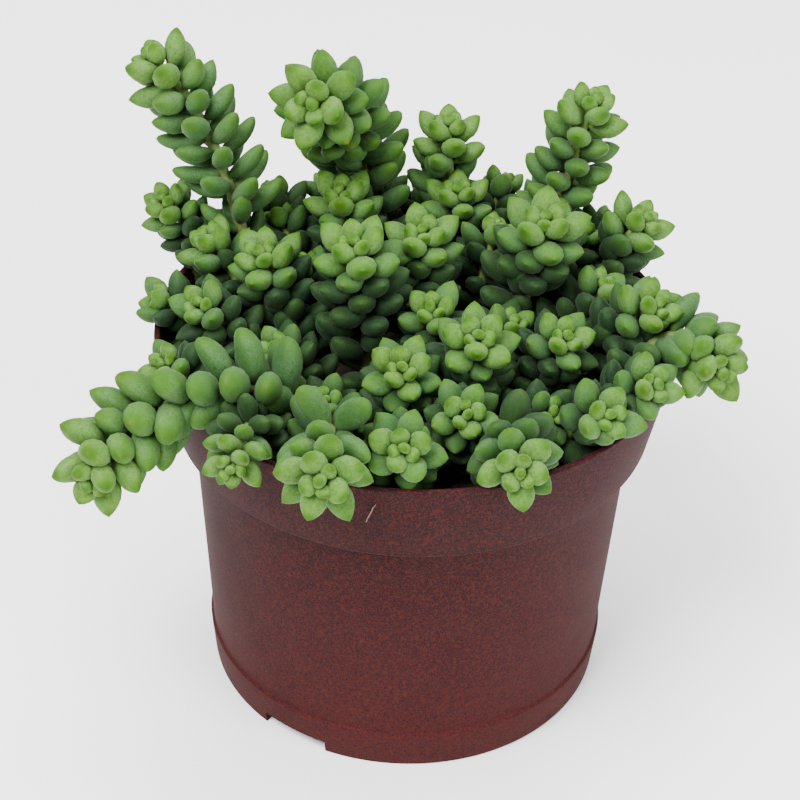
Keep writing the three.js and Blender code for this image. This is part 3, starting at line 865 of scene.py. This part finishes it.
def add_fibre(material):
    """A dry peat fibre that has fallen on the pot's band."""
    course = np.array(FIBRE_COURSE)
    rings = []
    angles = np.arange(FIBRE_SIDES) / FIBRE_SIDES * 2 * math.pi
    for i, point in enumerate(course):
        forward = unit(course[min(i + 1, len(course) - 1)] - course[max(i - 1, 0)])
        side = unit(np.cross(forward, [0, 1, 0]))
        other = np.cross(forward, side)
        thick = FIBRE_RADIUS * math.sin(math.pi * (i + 1) / (len(course) + 1)) ** 0.5
        ring = np.outer(np.cos(angles), side) + np.outer(np.sin(angles), other)
        rings.append(point + thick * ring)
    points = np.concatenate([course[:1], *rings, course[-1:]])
    faces = capped_rings(len(course), FIBRE_SIDES)
    add_piece("dry_fibre", points, faces, [material])


# Materials


def put(tree, socket, value):
    """Links an output to a socket, or sets the socket to a plain value."""
    if isinstance(value, bpy.types.NodeSocket):
        tree.links.new(value, socket)
    elif isinstance(value, tuple) and socket.type == "RGBA":
        socket.default_value = (*value, 1)
    else:
        socket.default_value = value


def node_of(tree, kind, inputs, **settings):
    node = tree.nodes.new(kind)
    for key, value in settings.items():
        setattr(node, key, value)
    for key, value in inputs.items():
        put(tree, node.inputs[key], value)
    return node


def noise_of(tree, at, scale, detail=3, roughness=0.55, distortion=0):
    """Noise of 0 to 1 with about as many waves in a metre as its scale."""
    inputs = {
        "Vector": at,
        "Scale": scale,
        "Detail": detail,
        "Roughness": roughness,
        "Distortion": distortion,
    }
    return node_of(tree, "ShaderNodeTexNoise", inputs).outputs["Fac"]


def mixed(tree, factor, first, second):
    """The first colour at factor 0 and the second at factor 1."""
    node = node_of(tree, "ShaderNodeMix", {}, data_type="RGBA")
    for place, value in ((0, factor), (6, first), (7, second)):
        put(tree, node.inputs[place], value)
    return node.outputs[2]


def ramp(tree, factor, stops, ease="EASE"):
    """A colour for each factor from stops of (place, colour), or a grey where one is a number."""
    node = node_of(tree, "ShaderNodeValToRGB", {"Fac": factor})
    node.color_ramp.interpolation = ease
    elements = node.color_ramp.elements
    while len(elements) < len(stops):
        elements.new(0.5)
    for element, (place, colour) in zip(elements, stops):
        element.position = place
        element.color = (*colour, 1) if isinstance(colour, tuple) else (colour, colour, colour, 1)
    return node.outputs["Color"]


def sums(tree, operation, first, second):
    """Two values put together by an operation of the Math node."""
    node = node_of(tree, "ShaderNodeMath", {}, operation=operation)
    put(tree, node.inputs[0], first)
    put(tree, node.inputs[1], second)
    return node.outputs[0]


def scaled(tree, value, low, high):
    """A factor of 0 to 1 spread over another range."""
    inputs = {"Value": value, "To Min": low, "To Max": high}
    return node_of(tree, "ShaderNodeMapRange", inputs).outputs[0]


def material_of(name, constants):
    """A new material, its node tree, its shader and its coordinates in the part's frame."""
    material = bpy.data.materials.new(name)
    material.use_nodes = True
    tree = material.node_tree
    shader = tree.nodes["Principled BSDF"]
    for key, value in constants.items():
        put(tree, shader.inputs[key], value)
    at = node_of(tree, "ShaderNodeTexCoord", {}).outputs["Object"]
    return material, tree, shader, at


def bump(tree, shader, height, strength, distance):
    inputs = {"Height": height, "Strength": strength, "Distance": distance}
    tree.links.new(node_of(tree, "ShaderNodeBump", inputs).outputs[0], shader.inputs["Normal"])


def look_of(tree):
    """A piece's own four numbers a point."""
    node = node_of(tree, "ShaderNodeAttribute", {}, attribute_name="look")
    parts = node_of(tree, "ShaderNodeSeparateXYZ", {"Vector": node.outputs["Vector"]}).outputs
    return *parts, node.outputs["Alpha"]


def leaf_material():
    """Waxy leaf: bright in the heads and darker below with age and painted shade, under a pale
    bloom with worn places and a painted sheen where it is seen edge-on.
    """
    constants = {
        "Subsurface Weight": 0.12,
        "Subsurface Radius": (1.0, 1.7, 0.45),
        "Subsurface Scale": 0.0009,
        "Sheen Weight": 0.05,
        "Sheen Roughness": 0.45,
        "Sheen Tint": (0.8, 0.95, 0.75),
        "Specular IOR Level": 0.13,
    }
    material, tree, shader, at = material_of("waxy_leaf", constants)
    age_and_shade, tone, along, margin = look_of(tree)
    # The leaf's colour darkens with age and with painted shade.
    skin = ramp(tree, age_and_shade, LEAF_SKIN_AND_SHADE, "LINEAR")
    skin = mixed(tree, scaled(tree, tone, 0.0, 0.2), skin, LEAF_WARM)
    patches = noise_of(tree, at, 170, 4, 0.6, 0.4)
    grain = noise_of(tree, at, 2400, 3, 0.6)
    mottle = noise_of(tree, at, 1100, 3, 0.65)
    skin = mixed(tree, ramp(tree, mottle, [(0.42, 0.55), (0.6, 0.0)]), skin, LEAF_MOTTLE)
    bloom_and_sheen = ramp(tree, patches, [(0.36, 0.1), (0.66, 0.34)])
    # Painted sheen: the pale bloom colour is laid on more strongly where the leaf is seen edge-on,
    # on top of the real bloom patches and margins.
    grazing_sheen = node_of(tree, "ShaderNodeLayerWeight", {"Blend": 0.3}).outputs["Facing"]
    bloom_and_sheen = sums(tree, "ADD", bloom_and_sheen, sums(tree, "MULTIPLY", grazing_sheen, 0.2))
    bloom_and_sheen = sums(tree, "ADD", bloom_and_sheen, sums(tree, "MULTIPLY", margin, 0.25))
    bloom_and_sheen = sums(tree, "MULTIPLY", bloom_and_sheen, ramp(tree, grain, [(0.36, 0.2), (0.62, 1.7)]))
    bloom_and_sheen = sums(tree, "MULTIPLY", bloom_and_sheen, scaled(tree, age_and_shade, 1.05, 1.3))
    skin = mixed(tree, bloom_and_sheen, skin, ramp(tree, age_and_shade, LEAF_BLOOM_AND_SHADE))
    base = ramp(tree, along, [(0.0, 1.0), (0.3, 0.0)])
    skin = mixed(tree, sums(tree, "MULTIPLY", base, 0.35), skin, LEAF_ROOT)
    worn = sums(tree, "ADD", along, scaled(tree, patches, -0.07, 0.07))
    zone = ramp(tree, worn, [(0.62, 0.0), (0.9, 0.5)])
    zone = sums(tree, "MULTIPLY", zone, scaled(tree, age_and_shade, 1.0, 0.0))
    skin = mixed(tree, zone, skin, LEAF_ZONE)
    spot = ramp(tree, worn, [(0.81, 0.0), (0.97, 1.0)])
    fresh = sums(tree, "MULTIPLY", spot, scaled(tree, age_and_shade, 1.0, 0.1))
    skin = mixed(tree, fresh, skin, LEAF_SPOT)
    point = ramp(tree, worn, [(0.955, 0.0), (0.99, 1.0)])
    blush = sums(tree, "MULTIPLY", point, scaled(tree, tone, -0.2, 0.26))
    blush = sums(tree, "MULTIPLY", blush, scaled(tree, age_and_shade, 1.2, 0.0))
    skin = mixed(tree, blush, skin, LEAF_BLUSH)
    put(tree, shader.inputs["Base Color"], skin)
    put(tree, shader.inputs["Roughness"], scaled(tree, patches, 0.55, 0.75))
    dents = noise_of(tree, at, 420, 2, 0.5)
    bump(tree, shader, sums(tree, "ADD", sums(tree, "MULTIPLY", dents, 2.5), grain), 0.35, 0.00012)
    return material


def stem_material():
    """Smooth stem: green near its bud, then yellow-green, and pale brown where it is old."""
    material, tree, shader, at = material_of("fleshy_stem", {"Specular IOR Level": 0.35})
    share, tone, _, _ = look_of(tree)
    skin = ramp(tree, share, STEM_SKIN, "LINEAR")
    flecks = noise_of(tree, at, 900, 4, 0.65)
    skin = mixed(tree, ramp(tree, flecks, [(0.45, 0.0), (0.7, 0.6)]), skin, STEM_FLECKS)
    skin = mixed(tree, scaled(tree, tone, 0, 0.2), skin, STEM_WARM)
    put(tree, shader.inputs["Base Color"], skin)
    put(tree, shader.inputs["Roughness"], scaled(tree, flecks, 0.5, 0.8))
    bump(tree, shader, flecks, 0.4, 0.0003)
    return material


def pot_material():
    """Moulded plastic: matt brown with a fine grain, greyer above, redder below, and dusty."""
    material, tree, shader, at = material_of("moulded_pot", {"Specular IOR Level": 0.06})
    height = node_of(tree, "ShaderNodeSeparateXYZ", {"Vector": at}).outputs["Z"]
    share = sums(tree, "DIVIDE", height, POT_HEIGHT * MM)
    clouds = noise_of(tree, at, 26, 5, 0.6, 0.5)
    share = sums(tree, "ADD", share, scaled(tree, clouds, -0.22, 0.22))
    skin = ramp(tree, share, POT_SKIN, "LINEAR")
    grain = noise_of(tree, at, 2600, 2, 0.6)
    specks = noise_of(tree, at, 1000, 3, 0.65)
    skin = mixed(tree, ramp(tree, grain, [(0.42, 0.0), (0.58, 0.95)]), skin, POT_GRAIN)
    skin = mixed(tree, ramp(tree, specks, [(0.5, 0.0), (0.66, 0.5)]), skin, POT_SPECKS)
    flecks = noise_of(tree, at, 3300, 2, 0.5)
    skin = mixed(tree, ramp(tree, flecks, [(0.5, 0.0), (0.62, 0.8)]), skin, POT_FLECKS)
    ends = {0: at, 1: Vector(MARK_PLACE) * MM}
    away = node_of(tree, "ShaderNodeVectorMath", ends, operation="DISTANCE").outputs["Value"]
    near = sums(tree, "DIVIDE", away, MARK_SIZE * MM)
    near = sums(tree, "ADD", near, scaled(tree, specks, -0.5, 0.5))
    skin = mixed(tree, ramp(tree, near, [(0.3, 0.7), (0.9, 0.0)]), skin, POT_MARK)
    dust = ramp(tree, noise_of(tree, at, 60, 6, 0.7), [(0.55, 0.0), (0.8, 0.25)])
    skin = mixed(tree, dust, skin, POT_DUST)
    put(tree, shader.inputs["Base Color"], skin)
    put(tree, shader.inputs["Roughness"], scaled(tree, clouds, 0.6, 0.78))
    bump(tree, shader, sums(tree, "ADD", grain, sums(tree, "MULTIPLY", clouds, 3)), 0.22, 0.00012)
    return material


def soil_material():
    """Damp peat: near black with brown fibre and pale grit."""
    material, tree, shader, at = material_of("damp_peat", {"Specular IOR Level": 0.3})
    clods = noise_of(tree, at, 120, 6, 0.7)
    grit = noise_of(tree, at, 1300, 3, 0.6)
    skin = ramp(tree, clods, SOIL_SKIN)
    skin = mixed(tree, ramp(tree, grit, [(0.66, 0.0), (0.74, 0.7)]), skin, SOIL_GRIT)
    put(tree, shader.inputs["Base Color"], skin)
    put(tree, shader.inputs["Roughness"], scaled(tree, clods, 0.78, 0.98))
    bump(tree, shader, sums(tree, "ADD", clods, grit), 0.7, 0.0006)
    return material


def fibre_material():
    """A dry pale straw with darker joints."""
    material, tree, shader, at = material_of("dry_straw", {"Specular IOR Level": 0.2})
    joints = noise_of(tree, at, 900, 2)
    skin = mixed(tree, joints, FIBRE_PALE, FIBRE_DARK)
    put(tree, shader.inputs["Base Color"], skin)
    put(tree, shader.inputs["Roughness"], scaled(tree, joints, 0.7, 0.9))
    return material


def floor_material():
    material, tree, shader, at = material_of("studio_floor", {"Specular IOR Level": 0.1})
    shade = noise_of(tree, at, 9, 4, 0.5)
    put(tree, shader.inputs["Base Color"], mixed(tree, shade, *FLOOR_SHADES))
    put(tree, shader.inputs["Roughness"], scaled(tree, shade, 0.85, 0.95))
    return material


# Stage


def add_camera():
    """The photograph's camera, which is turned a little about its own line of sight."""
    cos, sin = math.cos(CAMERA_ELEVATION), math.sin(CAMERA_ELEVATION)
    back = Vector((0, -cos, sin))
    level, up = Vector((1, 0, 0)), Vector((0, sin, cos))
    right = level * math.cos(CAMERA_ROLL) + up * math.sin(CAMERA_ROLL)
    top = up * math.cos(CAMERA_ROLL) - level * math.sin(CAMERA_ROLL)
    data = bpy.data.cameras.new("photo_camera")
    data.lens = CAMERA_LENS
    data.sensor_width = SENSOR_WIDTH
    camera = bpy.data.objects.new("photo_camera", data)
    matrix = Matrix((right, top, back)).transposed().to_4x4()
    matrix.translation = (Vector(CAMERA_TARGET) + back * CAMERA_DISTANCE) * MM
    camera.matrix_world = matrix
    bpy.context.collection.objects.link(camera)
    bpy.context.scene.camera = camera


def add_light(name, place, size, power):
    """A square soft light that faces the plant."""
    data = bpy.data.lights.new(name, "AREA")
    data.size = size
    data.energy = power
    light = bpy.data.objects.new(name, data)
    light.location = place
    aim = Vector(LIGHT_AIM) - Vector(place)
    light.rotation_euler = aim.to_track_quat("-Z", "Y").to_euler()
    bpy.context.collection.objects.link(light)


def add_stage():
    """A wide pale floor, an even sky and the lights."""
    mesh = bpy.data.meshes.new("floor")
    square = ((-1, -1), (1, -1), (1, 1), (-1, 1))
    corners = [(x * FLOOR_REACH, y * FLOOR_REACH, 0) for x, y in square]
    mesh.from_pydata(corners, [], [(0, 1, 2, 3)])
    mesh.materials.append(floor_material())
    floor = bpy.data.objects.new("floor", mesh)
    bpy.context.collection.objects.link(floor)
    world = bpy.data.worlds.new("studio")
    world.use_nodes = True
    background = world.node_tree.nodes["Background"]
    background.inputs["Color"].default_value = WORLD_COLOUR
    background.inputs["Strength"].default_value = WORLD_STRENGTH
    bpy.context.scene.world = world
    for light in LIGHTS:
        add_light(*light)


# The plant in its pot

rows = [dict(row, axis=make_axis(row), leaves={}) for row in TALL_AND_TRAILING + MOUND]
grow_leaves(rows)
draw = make_random(SEED + 1)
add_pot(pot_material())
add_soil(soil_material(), draw)
add_fibre(fibre_material())
green = [leaf_material(), stem_material()]
for number, row in enumerate(rows, 1):
    add_leafy_stem(number, row, green, draw)
add_stage()
add_camera()
